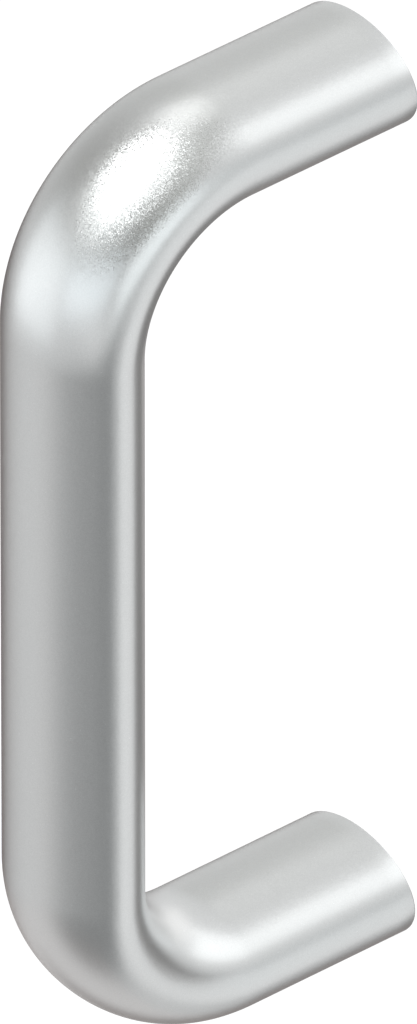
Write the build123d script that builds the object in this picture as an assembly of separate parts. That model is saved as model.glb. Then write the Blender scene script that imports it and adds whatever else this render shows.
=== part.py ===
"""Bow handle: one oval bar bent into a U and fixed from behind by a screw in each end.

All sizes are in millimetres. The door or drawer front is the plane Y = 0, and the handle stands in
front of it, towards -Y, with its grip along Z. The origin is midway between the two screw holes.
"""

import math
import os

from build123d import *

# The bow
hole_spacing = 112.0  # between the centres of the two screw holes, along Z
projection = 48.6  # from the mounting plane to the front of the grip
bend_radius = 13.0  # inside each bend, against the fingers

# The bar, an ellipse that keeps its section all the way round
bar_width = 20.2  # across the bow, along X
bar_thickness = 12.9  # in the plane of the bow

# The sawn ends
end_chamfer = 0.2  # the edge of each end face, broken at 45 degrees

# The tapped hole in each end
thread_diameter = 6.0
thread_pitch = 1.0
thread_depth = 12.0  # full thread, from the mounting plane
drill_runout = 3.0  # plain hole past the full thread, for the tap's lead
drill_point_angle = 118.0
mouth_clearance = 0.3  # the countersunk mouth is this much wider than the thread
mouth_angle = 120.0

tap_drill_radius = (thread_diameter - thread_pitch) / 2
drill_depth = thread_depth + drill_runout
mouth_radius = (thread_diameter + mouth_clearance) / 2
centre_bend_radius = bend_radius + bar_thickness / 2
grip_y = bar_thickness / 2 - projection
hole_z = hole_spacing / 2


def bow_path():
    """The bar's centre line, from the upper end forwards, down the grip and back to the lower end."""
    corners = [(0, 0, hole_z), (0, grip_y, hole_z), (0, grip_y, -hole_z), (0, 0, -hole_z)]
    return FilletPolyline(*corners, radius=centre_bend_radius)


def bent_bar():
    """The oval bar swept round the bow, with both ends square to their legs."""
    upper_end = Plane(origin=(0, 0, hole_z), x_dir=(1, 0, 0), z_dir=(0, -1, 0))
    section = upper_end * Ellipse(bar_width / 2, bar_thickness / 2)
    return sweep(section, path=bow_path())


def break_end_edges(bar):
    """The bar with the rim of both end faces chamfered."""
    end_faces = bar.faces().filter_by(Axis.Y).sort_by(Axis.Y)[-2:]
    rims = [edge for face in end_faces for edge in face.outer_wire().edges()]
    return chamfer(rims, end_chamfer)


def tapped_hole(z):
    """What the drill, the countersink and the tap's minor diameter remove from the end at height z."""
    mouth_depth = (mouth_radius - tap_drill_radius) / math.tan(math.radians(mouth_angle / 2))
    point_depth = tap_drill_radius / math.tan(math.radians(drill_point_angle / 2))
    outline = Polyline(
        (0, 0),
        (mouth_radius, 0),
        (tap_drill_radius, -mouth_depth),
        (tap_drill_radius, -drill_depth),
        (0, -drill_depth - point_depth),
        close=True,
    )
    return Pos(0, 0, z) * revolve(make_face(outline), Axis.Y)


def bow_handle():
    """The finished handle: the bent bar, its ends chamfered, drilled and tapped."""
    bar = break_end_edges(bent_bar())
    return bar - tapped_hole(hole_z) - tapped_hole(-hole_z)


os.makedirs("parts", exist_ok=True)
handle = bow_handle()
handle.label = "bow_handle"
export_step(handle, "parts/bow_handle.step")
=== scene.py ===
"""Looks of the bow handle: one oval bar of satin anodised aluminium, bent into a U and tapped at both ends.

All lengths are in metres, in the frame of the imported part: the door or drawer front is the plane Y = 0, the
handle stands in front of it towards -Y, and its grip runs along Z.
"""

import math

import bmesh
import bpy
from mathutils import Matrix, Vector


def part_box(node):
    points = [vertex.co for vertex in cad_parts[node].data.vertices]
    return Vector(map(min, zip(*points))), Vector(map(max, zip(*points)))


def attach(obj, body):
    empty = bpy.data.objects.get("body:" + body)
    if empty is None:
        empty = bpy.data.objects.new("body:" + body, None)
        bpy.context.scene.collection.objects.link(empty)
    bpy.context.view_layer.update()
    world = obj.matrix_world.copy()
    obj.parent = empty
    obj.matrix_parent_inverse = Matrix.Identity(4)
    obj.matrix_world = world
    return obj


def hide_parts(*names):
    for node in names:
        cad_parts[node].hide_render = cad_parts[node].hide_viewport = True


MM = 0.001

# The bar and its bends
BAR_THICKNESS = 12.9 * MM  # in the plane of the bow
BEND_RADIUS = 13.0 * MM  # inside each bend, against the fingers
EDGE_ROUND = 0.2 * MM  # the broken edge of each sawn end
FLAT_MARGIN = 0.08 * MM  # from that edge to the first ring of points on the flat end

# The patch of raised grain on the outside of the upper bend, where bending has stretched the metal
PATCH_RUN = 10.5 * MM  # along the bar's axis, from the leg's end of the bend to the patch's middle
PATCH_ANGLE = -31.0  # round the section, from the outer side of the bow, in degrees
PATCH_LENGTH = 14.0 * MM  # from its middle to its rim, along the axis
PATCH_WIDTH = 52.0  # and round the section, in degrees
PATCH_SOLID_SHARE = 0.15  # within this share of its reach the grain is fully raised
OUTER_SIDE = 90.0  # where each ring of points reaches the outer side of the bow, in degrees

# The tapped hole in each end, M6 by 1
THREAD_PITCH = 1.0 * MM
CREST_RADIUS = 2.5 * MM  # the thread's minor radius, which is the tapping drill's
GROOVE_DEPTH = 0.5 * MM
THREAD_LENGTH = 12.0 * MM
TAP_LEAD = 2.0 * MM  # over this last stretch the groove runs out
DRILL_DEPTH = 15.0 * MM
DRILL_POINT_ANGLE = 118.0
MOUTH_RADIUS = 3.15 * MM
MOUTH_ANGLE = 120.0

# How finely the mesh follows them
BAR_SIDES = 192
HOLE_SIDES = 96
BEND_STEPS = 64
STRAIGHT_STEP = 2.0 * MM
EDGE_STEPS = 4
ROWS_PER_PITCH = 12
CRISP_ANGLE = 25.0  # an edge that turns more than this many degrees isn't shaded smooth


class Bow:
    """The bar's sizes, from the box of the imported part."""

    def __init__(self, node):
        low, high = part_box(node)
        self.half_width = high.x
        self.half_thickness = BAR_THICKNESS / 2
        self.end_y = high.y
        self.grip_y = low.y + self.half_thickness
        self.leg_z = high.z - self.half_thickness
        self.radius = BEND_RADIUS + self.half_thickness


def steps_between(start, end, step):
    """Evenly spaced values after start, up to and including end, about one step apart."""
    count = max(1, round(abs(end - start) / step))
    return [start + (end - start) * i / count for i in range(1, count + 1)]


def smooth(share):
    """An even share from 0 to 1, eased at both ends and held within them."""
    share = min(1.0, max(0.0, share))
    return share * share * (3 - 2 * share)


def upper_half_stations(bow):
    """Where the section stands, from the upper end to the grip's middle: (y, z) and the bend's turn."""
    bend_y = bow.grip_y + bow.radius
    bend_z = bow.leg_z - bow.radius
    start = bow.end_y - EDGE_ROUND
    stations = [(start, bow.leg_z, 0.0)]
    stations += [(y, bow.leg_z, 0.0) for y in steps_between(start, bend_y, STRAIGHT_STEP)]
    for i in range(1, BEND_STEPS + 1):
        turn = math.pi / 2 * i / BEND_STEPS
        stations.append((bend_y - bow.radius * math.sin(turn), bend_z + bow.radius * math.cos(turn), turn))
    stations += [(bow.grip_y, z, math.pi / 2) for z in steps_between(bend_z, 0.0, STRAIGHT_STEP)]
    return stations


def all_stations(bow):
    """The whole bow's stations. The lower half mirrors the upper one, so its turns go on to half a circle."""
    upper = upper_half_stations(bow)
    lower = [(y, -z, math.pi - turn) for y, z, turn in reversed(upper[:-1])]
    return upper + lower


def oval(bow, angle, inset):
    """A point of the bar's oval, moved in by inset: (across, outwards)."""
    a, b = bow.half_width, bow.half_thickness
    normal = Vector((math.cos(angle) / a, math.sin(angle) / b)).normalized()
    return a * math.cos(angle) - inset * normal.x, b * math.sin(angle) - inset * normal.y


def oval_ring(bow, station, inset=0.0):
    """The section's points at one station, with the outer side of the bow at a quarter turn."""
    y, z, turn = station
    ring = []
    for i in range(BAR_SIDES):
        across, outwards = oval(bow, math.tau * i / BAR_SIDES, inset)
        ring.append((across, y - outwards * math.sin(turn), z + outwards * math.cos(turn)))
    return ring


def stretch_ring(bow, station):
    """How strongly bending has raised the grain round one station, from 0 to 1."""
    y, z, turn = station
    run = bow.radius * turn - max(0.0, y - bow.grip_y - bow.radius)
    ring = []
    for i in range(BAR_SIDES):
        angle = math.degrees(math.tau * i / BAR_SIDES) - OUTER_SIDE
        reach = math.hypot((run - PATCH_RUN) / PATCH_LENGTH, (angle - PATCH_ANGLE) / PATCH_WIDTH)
        ring.append(smooth((1 - reach) / (1 - PATCH_SOLID_SHARE)))
    return ring


def end_rings(bow, sign):
    """Rings from the bar's side round its broken edge and onto the flat end. A sign of 1 is the upper leg."""
    turn = 0.0 if sign > 0 else math.pi
    rings = []
    for i in range(1, EDGE_STEPS + 1):
        angle = math.pi / 2 * i / EDGE_STEPS
        y = bow.end_y - EDGE_ROUND * (1 - math.sin(angle))
        rings.append(oval_ring(bow, (y, sign * bow.leg_z, turn), EDGE_ROUND * (1 - math.cos(angle))))
    rings.append(oval_ring(bow, (bow.end_y, sign * bow.leg_z, turn), EDGE_ROUND + FLAT_MARGIN))
    return rings


def groove(phase):
    """How deep the thread is cut at a phase from 0 to 1, as a share of the full depth."""
    crest, flank, root = 0.25, 0.3125, 0.125
    if phase < crest:
        return 0.0
    if phase < crest + flank:
        return (phase - crest) / flank
    if phase < crest + flank + root:
        return 1.0
    return (1.0 - phase) / flank


def hole_radius(depth, angle):
    """The wall's radius at a depth and an angle: the countersunk mouth, the thread and its run-out."""
    share = groove((depth / THREAD_PITCH - angle / math.tau) % 1.0)
    fade = min(1.0, max(0.0, (THREAD_LENGTH + TAP_LEAD - depth) / TAP_LEAD))
    mouth = MOUTH_RADIUS - depth * math.tan(math.radians(MOUTH_ANGLE / 2))
    return max(mouth, CREST_RADIUS + GROOVE_DEPTH * share * fade)


def hole_rings(bow, sign):
    """Rings down the tapped hole, from its mouth to the foot of the drill's cone."""
    threaded = THREAD_LENGTH + TAP_LEAD
    depths = [0.0] + steps_between(0.0, threaded, THREAD_PITCH / ROWS_PER_PITCH) + [DRILL_DEPTH]
    rings = []
    for depth in depths:
        ring = []
        for i in range(HOLE_SIDES):
            angle = math.tau * i / HOLE_SIDES
            radius = hole_radius(depth, angle)
            ring.append((
                radius * math.cos(angle),
                bow.end_y - depth,
                sign * (bow.leg_z + radius * math.sin(angle)),
            ))
        rings.append(ring)
    return rings


class Shell:
    """Points and faces of one closed skin, with how far each point's metal is stretched and machined."""

    def __init__(self):
        self.points = []
        self.faces = []
        self.stretch = []
        self.machined = []

    def ring(self, points, stretch=None, machined=0.0):
        """Adds a ring of points and returns their numbers."""
        first = len(self.points)
        self.points += points
        self.stretch += stretch or [0.0] * len(points)
        self.machined += [machined] * len(points)
        return list(range(first, first + len(points)))

    def bridge(self, a, b):
        """Joins two rings of the same number of points."""
        n = len(a)
        for i in range(n):
            j = (i + 1) % n
            self.faces.append((a[i], a[j], b[j], b[i]))

    def bridge_half(self, a, b):
        """Joins ring a to ring b, which has half as many points."""
        n = len(b)
        for i in range(n):
            j = (i + 1) % n
            self.faces.append((a[2 * i], a[2 * i + 1], b[i]))
            self.faces.append((a[2 * i + 1], a[(2 * i + 2) % len(a)], b[j], b[i]))

    def close(self, ring, tip):
        """Closes a ring to one point."""
        (apex,) = self.ring([tip], machined=1.0)
        n = len(ring)
        for i in range(n):
            self.faces.append((ring[i], ring[(i + 1) % n], apex))

    def mesh(self, name):
        """The skin as a mesh that carries its stretch and its machining."""
        mesh = bpy.data.meshes.new(name)
        mesh.from_pydata(self.points, [], self.faces)
        mesh.attributes.new("stretch", "FLOAT", "POINT").data.foreach_set("value", self.stretch)
        mesh.attributes.new("machined", "FLOAT", "POINT").data.foreach_set("value", self.machined)
        return mesh


def add_end(shell, bow, rim, sign):
    """The broken edge, the flat end and the tapped hole of one leg."""
    for points in end_rings(bow, sign):
        ring = shell.ring(points)
        shell.bridge(rim, ring)
        rim = ring
    mouth, *wall = hole_rings(bow, sign)
    ring = shell.ring(mouth)
    shell.bridge_half(rim, ring)
    for points in wall:
        deeper = shell.ring(points, machined=1.0)
        shell.bridge(ring, deeper)
        ring = deeper
    point_depth = CREST_RADIUS / math.tan(math.radians(DRILL_POINT_ANGLE / 2))
    shell.close(ring, (0.0, bow.end_y - DRILL_DEPTH - point_depth, sign * bow.leg_z))


def make_bar(bow):
    """The bent bar with its ends and holes, as one closed mesh."""
    shell = Shell()
    rings = []
    for station in all_stations(bow):
        rings.append(shell.ring(oval_ring(bow, station), stretch_ring(bow, station)))
    for a, b in zip(rings, rings[1:]):
        shell.bridge(a, b)
    add_end(shell, bow, rings[0], 1)
    add_end(shell, bow, rings[-1], -1)
    mesh = shell.mesh("bent_bar")
    outward_normals(mesh)
    mesh.shade_smooth()
    bar = bpy.data.objects.new("bent_bar", mesh)
    bpy.context.scene.collection.objects.link(bar)
    return bar


def outward_normals(mesh):
    """Turns every face outwards and keeps a crisp edge where the hole meets the flat end."""
    work = bmesh.new()
    work.from_mesh(mesh)
    bmesh.ops.recalc_face_normals(work, faces=work.faces)
    for edge in work.edges:
        edge.smooth = edge.calc_face_angle(0.0) < math.radians(CRISP_ANGLE)
    work.to_mesh(mesh)
    work.free()


# The bead-blasted finish. Each grain has its own tilt, as an offset of the unit normal, its own roughness and
# its own tone. Of each pair, the first is for the plain bar and the second for the patch of raised grain.
GRAIN_SIZE = 0.09 * MM
GRAIN_TILT = (0.035, 0.28)
ROUGHNESS = (0.32, 0.28)
ROUGHNESS_SPREAD = (0.02, 0.06)
DARK_GRAIN = (0.57, 0.58, 0.58, 1.0)
PALE_GRAIN = (0.63, 0.64, 0.64, 1.0)
GLINT_SPECK = (0.72, 0.73, 0.73, 1.0)  # a rare grain painted brighter than the rest, as a painted glint
GLINT_SPECK_SHARE = 0.999  # of the grains don't get the painted glint
MACHINED_ROUGHNESS = 0.22  # of the drilled and tapped holes, which the blasting doesn't reach
RANDOM_MIDDLE = (0.5, 0.5, 0.5)  # of a grain's random vector


class Nodes:
    """Short calls for building one material's nodes."""

    def __init__(self, material):
        material.use_nodes = True
        self.tree = material.node_tree
        self.shader = self.tree.nodes["Principled BSDF"]

    def link(self, source, target):
        self.tree.links.new(source, target)

    def add(self, kind, **settings):
        node = self.tree.nodes.new(kind)
        for name, value in settings.items():
            setattr(node, name, value)
        return node

    def fill(self, socket, value):
        """Gives an input another node's output, or a plain value."""
        if isinstance(value, bpy.types.NodeSocket):
            self.link(value, socket)
        else:
            socket.default_value = value

    def vector(self, operation, *values):
        """A sum, a difference or the like of vectors."""
        node = self.add("ShaderNodeVectorMath", operation=operation)
        for socket, value in zip(node.inputs, values):
            self.fill(socket, value)
        return node.outputs["Vector"]

    def scaled(self, vector, factor):
        """A vector times a number."""
        node = self.add("ShaderNodeVectorMath", operation="SCALE")
        self.fill(node.inputs["Vector"], vector)
        self.fill(node.inputs["Scale"], factor)
        return node.outputs["Vector"]

    def between(self, share, low, high):
        """A number from low to high, as share goes from 0 to 1."""
        node = self.add("ShaderNodeMapRange")
        self.fill(node.inputs["Value"], share)
        self.fill(node.inputs["To Min"], low)
        self.fill(node.inputs["To Max"], high)
        return node.outputs["Result"]

    def mixed(self, share, first, second):
        """A colour from the first to the second, as share goes from 0 to 1."""
        node = self.add("ShaderNodeMix", data_type="RGBA")
        colour_sockets = [socket for socket in node.inputs if socket.type == "RGBA"]
        self.fill(node.inputs["Factor"], share)
        for socket, value in zip(colour_sockets, (first, second)):
            self.fill(socket, value)
        return next(socket for socket in node.outputs if socket.type == "RGBA")

    def attribute(self, name):
        """A number that the mesh carries at its points."""
        return self.add("ShaderNodeAttribute", attribute_name=name).outputs["Fac"]


def add_grain(nodes):
    """The blasted surface's grains: a random vector and a random share, the same all over each grain."""
    place = nodes.add("ShaderNodeTexCoord")
    grain = nodes.add("ShaderNodeTexVoronoi")
    grain.inputs["Scale"].default_value = 1 / GRAIN_SIZE
    nodes.link(place.outputs["Object"], grain.inputs["Vector"])
    parts = nodes.add("ShaderNodeSeparateColor")
    nodes.link(grain.outputs["Color"], parts.inputs["Color"])
    return nodes.vector("SUBTRACT", grain.outputs["Color"], RANDOM_MIDDLE), parts.outputs["Red"]


def add_tilt(nodes, turn, stretch, machined):
    """Turns the shading normal by each grain's own small offset, and leaves it alone in the holes."""
    blasted = nodes.scaled(turn, nodes.between(stretch, *GRAIN_TILT))
    offset = nodes.scaled(blasted, nodes.between(machined, 1.0, 0.0))
    normal = nodes.add("ShaderNodeNewGeometry").outputs["Normal"]
    tilted = nodes.vector("NORMALIZE", nodes.vector("ADD", normal, offset))
    nodes.link(tilted, nodes.shader.inputs["Normal"])


def add_roughness(nodes, share, stretch, machined):
    """Each grain's own roughness, and the smoother holes."""
    spread = nodes.between(stretch, *ROUGHNESS_SPREAD)
    middle = nodes.between(stretch, *ROUGHNESS)
    blasted = nodes.add("ShaderNodeMath", operation="MULTIPLY_ADD")
    for socket, value in zip(blasted.inputs, (nodes.between(share, -1.0, 1.0), spread, middle)):
        nodes.fill(socket, value)
    rough = nodes.between(machined, blasted.outputs["Value"], MACHINED_ROUGHNESS)
    nodes.link(rough, nodes.shader.inputs["Roughness"])


def add_tone(nodes, share):
    """The colour of the metal, a little paler on some grains than on others, with a rare grain painted
    brighter as a painted glint.
    """
    # A rare grain is painted brighter, as a painted glint.
    glint_speck = nodes.add("ShaderNodeMath", operation="GREATER_THAN")
    nodes.fill(glint_speck.inputs[0], share)
    nodes.fill(glint_speck.inputs[1], GLINT_SPECK_SHARE)
    metal = nodes.mixed(share, DARK_GRAIN, PALE_GRAIN)
    nodes.link(nodes.mixed(glint_speck.outputs["Value"], metal, GLINT_SPECK), nodes.shader.inputs["Base Color"])


def satin_aluminium():
    """Clear anodised aluminium, bead blasted, and coarser on the patch that bending has stretched."""
    material = bpy.data.materials.new("satin_aluminium")
    nodes = Nodes(material)
    nodes.shader.inputs["Metallic"].default_value = 1.0
    turn, share = add_grain(nodes)
    stretch = nodes.attribute("stretch")
    machined = nodes.attribute("machined")
    add_tilt(nodes, turn, stretch, machined)
    add_roughness(nodes, share, stretch, machined)
    add_tone(nodes, share)
    return material


# The studio. Azimuth 0 is towards -Y and 90 towards +X, seen from the handle, and all angles are in degrees.
WORLD_LEVEL = 0.6  # on the floor, while the camera and the metal see the backdrop's plain white
BACKDROP_LEVEL = 1.0
BOX_DISTANCE = 1.5
CARD_DISTANCE = 3.6  # of the furthest card
CARD_SPACING = 0.05
CARD_RINGS = 32
CARD_SIDES = 96
FLOOR_DROP = 7.5
FLOOR_HALF = 40.0
FLOOR_COLOUR = (0.8, 0.8, 0.8, 1.0)
FLOOR_GLOW = 0.6  # for the camera and the metal, so that the floor looks as white as the backdrop

# Slight tints of the lamps and cards
NEUTRAL = (1.0, 1.0, 1.0)
PALE_COOL = (0.985, 1.005, 1.01)
COOL = (0.95, 1.01, 1.04)
BLUE = (0.92, 1.01, 1.07)
WARM = (1.03, 0.995, 0.975)
AMBER = (1.6, 0.8, 0.6)
STRAW = (1.01, 1.02, 0.97)
SAND = (1.045, 1.02, 0.935)


def direction(azimuth, elevation):
    """The unit vector from the handle towards an azimuth and an elevation."""
    a, e = math.radians(azimuth), math.radians(elevation)
    return Vector((math.sin(a) * math.cos(e), -math.cos(a) * math.cos(e), math.sin(e)))


def facing_handle(azimuth, elevation, roll):
    """The turn of something that faces the handle from a direction."""
    turn = direction(azimuth, elevation).to_track_quat("Z", "Y").to_matrix().to_4x4()
    return turn @ Matrix.Rotation(math.radians(roll), 4, "Z")


def stage_object(name, mesh):
    """An object of the studio, which isn't part of the handle."""
    obj = bpy.data.objects.new(name, mesh)
    bpy.context.scene.collection.objects.link(obj)
    return obj


def add_soft_box(name, azimuth, elevation, half_width, half_height, roll, level, tint=NEUTRAL):
    """A rectangular lamp. Its half sizes are angles seen from the handle, and its level its brightness."""
    data = bpy.data.lights.new(name, "AREA")
    data.shape = "RECTANGLE"
    data.size = 2 * BOX_DISTANCE * math.tan(math.radians(half_width))
    data.size_y = 2 * BOX_DISTANCE * math.tan(math.radians(half_height))
    data.color = tint
    data.energy = level * math.pi * data.size * data.size_y
    lamp = bpy.data.objects.new(name, data)
    lamp.matrix_world = facing_handle(azimuth, elevation, roll) @ Matrix.Translation((0, 0, BOX_DISTANCE))
    lamp.visible_camera = False
    bpy.context.scene.collection.objects.link(lamp)


def card_point(distance, half_width, half_height, reach, angle):
    """A point of a card at a reach from its middle, 0, to its rim, 1."""
    across = math.radians(half_width) * reach * math.cos(angle)
    up = math.radians(half_height) * reach * math.sin(angle)
    return (
        distance * math.sin(across) * math.cos(up),
        distance * math.sin(up),
        distance * math.cos(across) * math.cos(up),
    )


def card_mesh(name, distance, half_width, half_height, solid_share):
    """A round card, curved about the handle. Its cover fades from solid_share of its reach out to its rim."""
    points = [(0.0, 0.0, distance)]
    cover = [1.0]
    for i in range(1, CARD_RINGS + 1):
        reach = i / CARD_RINGS
        for j in range(CARD_SIDES):
            points.append(card_point(distance, half_width, half_height, reach, math.tau * j / CARD_SIDES))
        cover += [smooth((1 - reach) / (1 - solid_share))] * CARD_SIDES
    faces = []
    for j in range(CARD_SIDES):
        following = (j + 1) % CARD_SIDES
        faces.append((0, 1 + j, 1 + following))
        for i in range(CARD_RINGS - 1):
            inner = 1 + i * CARD_SIDES
            outer = inner + CARD_SIDES
            faces.append((inner + j, outer + j, outer + following, inner + following))
    mesh = bpy.data.meshes.new(name)
    mesh.from_pydata(points, [], faces)
    mesh.attributes.new("cover", "FLOAT", "POINT").data.foreach_set("value", cover)
    return mesh


def card_material(name, level, tint):
    """A card of one grey level that lets the backdrop through where its cover fades."""
    material = bpy.data.materials.new(name)
    material.use_nodes = True
    nodes, links = material.node_tree.nodes, material.node_tree.links
    nodes.clear()
    out = nodes.new("ShaderNodeOutputMaterial")
    glow = nodes.new("ShaderNodeEmission")
    glow.inputs["Color"].default_value = (*tint, 1)
    glow.inputs["Strength"].default_value = level
    clear = nodes.new("ShaderNodeBsdfTransparent")
    cover = nodes.new("ShaderNodeAttribute")
    cover.attribute_name = "cover"
    mix = nodes.new("ShaderNodeMixShader")
    links.new(cover.outputs["Fac"], mix.inputs["Fac"])
    links.new(clear.outputs["BSDF"], mix.inputs[1])
    links.new(glow.outputs["Emission"], mix.inputs[2])
    links.new(mix.outputs["Shader"], out.inputs["Surface"])
    material.cycles.emission_sampling = "NONE"
    return material


def add_card(order, name, azimuth, elevation, half_width, half_height, roll, level, solid_share,
             tint=NEUTRAL):
    """A grey card that only the metal sees. A card of a higher order stands in front of the others."""
    distance = CARD_DISTANCE - CARD_SPACING * order
    mesh = card_mesh(name, distance, half_width, half_height, solid_share)
    mesh.materials.append(card_material(name, level, tint))
    card = stage_object(name, mesh)
    card.matrix_world = facing_handle(azimuth, elevation, roll)
    card.visible_camera = False
    card.visible_diffuse = False
    card.visible_shadow = False


def seen_ray(nodes, links):
    """1 for camera, glossy and transmission rays, and 0 for the others."""
    path = nodes.new("ShaderNodeLightPath")
    seen = path.outputs["Is Camera Ray"]
    for name in ("Is Glossy Ray", "Is Transmission Ray"):
        either = nodes.new("ShaderNodeMath")
        either.operation = "MAXIMUM"
        links.new(seen, either.inputs[0])
        links.new(path.outputs[name], either.inputs[1])
        seen = either.outputs["Value"]
    return seen


def make_world():
    """A plain white backdrop all round, which lights the floor at a lower level."""
    world = bpy.data.worlds.new("backdrop")
    bpy.context.scene.world = world
    world.use_nodes = True
    nodes, links = world.node_tree.nodes, world.node_tree.links
    background = nodes["Background"]
    background.inputs["Color"].default_value = (1, 1, 1, 1)
    level = nodes.new("ShaderNodeMapRange")
    level.inputs["To Min"].default_value = WORLD_LEVEL
    level.inputs["To Max"].default_value = BACKDROP_LEVEL
    links.new(seen_ray(nodes, links), level.inputs["Value"])
    links.new(level.outputs["Result"], background.inputs["Strength"])
    world.cycles.sampling_method = "NONE"


def floor_material():
    """Pale paint, which glows a little for the camera and the metal."""
    material = bpy.data.materials.new("floor")
    material.use_nodes = True
    nodes, links = material.node_tree.nodes, material.node_tree.links
    nodes.clear()
    out = nodes.new("ShaderNodeOutputMaterial")
    paint = nodes.new("ShaderNodeBsdfDiffuse")
    paint.inputs["Color"].default_value = FLOOR_COLOUR
    glow = nodes.new("ShaderNodeEmission")
    level = nodes.new("ShaderNodeMapRange")
    level.inputs["To Max"].default_value = FLOOR_GLOW
    links.new(seen_ray(nodes, links), level.inputs["Value"])
    links.new(level.outputs["Result"], glow.inputs["Strength"])
    add = nodes.new("ShaderNodeAddShader")
    links.new(paint.outputs["BSDF"], add.inputs[0])
    links.new(glow.outputs["Emission"], add.inputs[1])
    links.new(add.outputs["Shader"], out.inputs["Surface"])
    return material


def make_floor():
    """A pale floor far below, so that the handle can be seen from every side."""
    s, z = FLOOR_HALF, -FLOOR_DROP
    mesh = bpy.data.meshes.new("floor")
    mesh.from_pydata([(-s, -s, z), (s, -s, z), (s, s, z), (-s, s, z)], [], [(0, 1, 2, 3)])
    mesh.materials.append(floor_material())
    stage_object("floor", mesh)


def light_the_handle():
    """A small bright key above the upper bend, and wide faint panels that fill in round the handle."""
    add_soft_box("key", azimuth=-45, elevation=65, half_width=5, half_height=5, roll=20, level=33)
    add_soft_box("key_side", azimuth=1, elevation=65, half_width=20, half_height=20, roll=65,
                 level=1.4, tint=PALE_COOL)
    add_soft_box("key_low", azimuth=-27, elevation=51, half_width=18, half_height=16, roll=-15,
                 level=1.55, tint=PALE_COOL)
    add_soft_box("back", azimuth=-119, elevation=59, half_width=10, half_height=12, roll=10, level=1.2)
    add_soft_box("window_left", azimuth=-42, elevation=0, half_width=23, half_height=20, roll=5,
                 level=0.62, tint=COOL)
    add_soft_box("window_front", azimuth=11, elevation=13, half_width=26, half_height=12, roll=10,
                 level=0.75, tint=BLUE)
    add_soft_box("window_right", azimuth=72, elevation=16, half_width=24, half_height=15, roll=25,
                 level=1, tint=COOL)
    add_soft_box("behind", azimuth=169, elevation=36, half_width=31, half_height=15, roll=-45,
                 level=0.8, tint=PALE_COOL)
    add_soft_box("behind_low", azimuth=201, elevation=-10, half_width=13, half_height=26, roll=-25,
                 level=0.4, tint=WARM)
    add_soft_box("fill", azimuth=115, elevation=-23, half_width=39, half_height=26, roll=25, level=0.3)
    add_soft_box("floor_warmth", azimuth=-70, elevation=-72, half_width=38, half_height=30, roll=0,
                 level=0.03, tint=AMBER)


def shade_the_handle():
    """Feathered grey cards, whose reflections draw the soft bands along the bar."""
    add_card(0, "wall_card", azimuth=99, elevation=5, half_width=137, half_height=32, roll=-25,
             level=0.85, solid_share=0.9, tint=PALE_COOL)
    add_card(1, "floor_card", azimuth=30, elevation=-89, half_width=101, half_height=50, roll=-45,
             level=0.85, solid_share=0.9)
    add_card(2, "low_front_card", azimuth=42, elevation=-45, half_width=60, half_height=27, roll=20,
             level=0.3, solid_share=0.6, tint=PALE_COOL)
    add_card(3, "low_right_card", azimuth=178, elevation=-41, half_width=25, half_height=76, roll=40,
             level=0.26, solid_share=0.6, tint=WARM)
    add_card(4, "low_left_card", azimuth=-113, elevation=-30, half_width=63, half_height=26, roll=0,
             level=0.04, solid_share=0.1, tint=AMBER)
    add_card(5, "band_card", azimuth=-8, elevation=56, half_width=137, half_height=51, roll=0,
             level=0.21, solid_share=0.1, tint=SAND)
    add_card(6, "top_card", azimuth=160, elevation=82, half_width=133, half_height=17, roll=-5,
             level=0.55, solid_share=0.1, tint=STRAW)


# The camera, a long lens whose picture lies nearest the photograph's parallel view
CAMERA_AZIMUTH = 50.25
CAMERA_ELEVATION = 35.2
CAMERA_DISTANCE = 5209 * MM
CAMERA_REACH = 50.0  # how far it sees
LENS = 700.0
SENSOR_HEIGHT = 15.5
PICTURE_SIZE = (417, 1024)
GRIP_MIDDLE_PIXEL = (72.85, 606.6)  # where the middle of the grip's axis lies in the picture


def make_camera(bow):
    """The camera, aimed so that the middle of the grip's axis falls on its pixel."""
    data = bpy.data.cameras.new("camera")
    data.sensor_fit = "VERTICAL"
    data.sensor_height = SENSOR_HEIGHT
    data.lens = LENS
    data.clip_end = CAMERA_REACH
    pixel = CAMERA_DISTANCE * SENSOR_HEIGHT / LENS / PICTURE_SIZE[1]
    right = (GRIP_MIDDLE_PIXEL[0] - PICTURE_SIZE[0] / 2) * pixel
    down = (GRIP_MIDDLE_PIXEL[1] - PICTURE_SIZE[1] / 2) * pixel
    camera = bpy.data.objects.new("camera", data)
    camera.matrix_world = (
        Matrix.Translation((0, bow.grip_y, 0))
        @ facing_handle(CAMERA_AZIMUTH, CAMERA_ELEVATION, 0)
        @ Matrix.Translation((-right, down, CAMERA_DISTANCE))
    )
    bpy.context.scene.collection.objects.link(camera)
    bpy.context.scene.camera = camera


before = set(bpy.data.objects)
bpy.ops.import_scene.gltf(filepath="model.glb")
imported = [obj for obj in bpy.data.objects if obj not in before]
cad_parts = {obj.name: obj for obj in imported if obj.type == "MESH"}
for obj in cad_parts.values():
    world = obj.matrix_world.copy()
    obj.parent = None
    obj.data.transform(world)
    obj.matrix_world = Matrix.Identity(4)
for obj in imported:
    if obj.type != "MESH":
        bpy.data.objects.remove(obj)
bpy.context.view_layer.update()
bow = Bow("bow_handle")
bar = make_bar(bow)
bar.data.materials.append(satin_aluminium())
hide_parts("bow_handle")
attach(bar, "root")
make_world()
make_floor()
light_the_handle()
shade_the_handle()
make_camera(bow)

bpy.context.scene.view_settings.view_transform = "Standard"
